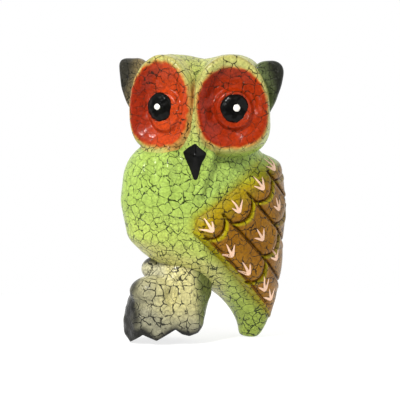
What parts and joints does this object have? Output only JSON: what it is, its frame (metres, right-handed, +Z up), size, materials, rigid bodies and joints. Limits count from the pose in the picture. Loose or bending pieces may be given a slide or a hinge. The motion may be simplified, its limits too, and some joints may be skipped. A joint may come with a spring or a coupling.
{
  "type": "owl figurine",
  "caption": "Painted carved-wood owl statuette with dished oval eye discs, relief wings and tail, standing on a root-like perch.",
  "frame": {"origin": "on the shelf surface, under the middle of the outline", "axes": "+Z up, -Y the way the face looks, +X towards the owl's own left, where the tail is"},
  "size_m": [0.1169, 0.09, 0.2],
  "materials": {
    "green_paint": "light green crackle paint under clear varnish",
    "face_paint": "orange-red crackle paint fading to yellow-green at the rim, under clear varnish",
    "wing_paint": "ochre and olive crackle paint under clear varnish",
    "ear_paint": "green fading to black paint under clear varnish",
    "perch_paint": "cream and grey crackle paint with black sprayed edges, under clear varnish",
    "gloss_black": "glossy black enamel",
    "white_enamel": "glossy white enamel dots",
    "pink_paint": "pale pink brushed paint marks",
    "bare_wood": "bare light wood, hidden inside"
  },
  "bodies": {
    "root": {"torso": "green_paint", "head": "green_paint", "beak": "gloss_black", "perch": "perch_paint", "neck_dowel": "bare_wood", "front_perch_dowel": "bare_wood", "rear_perch_dowel": "bare_wood", "left_eye_disc": "face_paint", "left_pupil": "gloss_black", "left_ear": "ear_paint", "left_wing": "wing_paint", "left_ear_dowel": "bare_wood", "left_disc_dowel": "bare_wood", "left_wing_pins": "bare_wood", "right_eye_disc": "face_paint", "right_pupil": "gloss_black", "right_ear": "ear_paint", "right_wing": "wing_paint", "right_ear_dowel": "bare_wood", "right_disc_dowel": "bare_wood", "right_wing_pins": "bare_wood"}
  },
  "joints": []
}
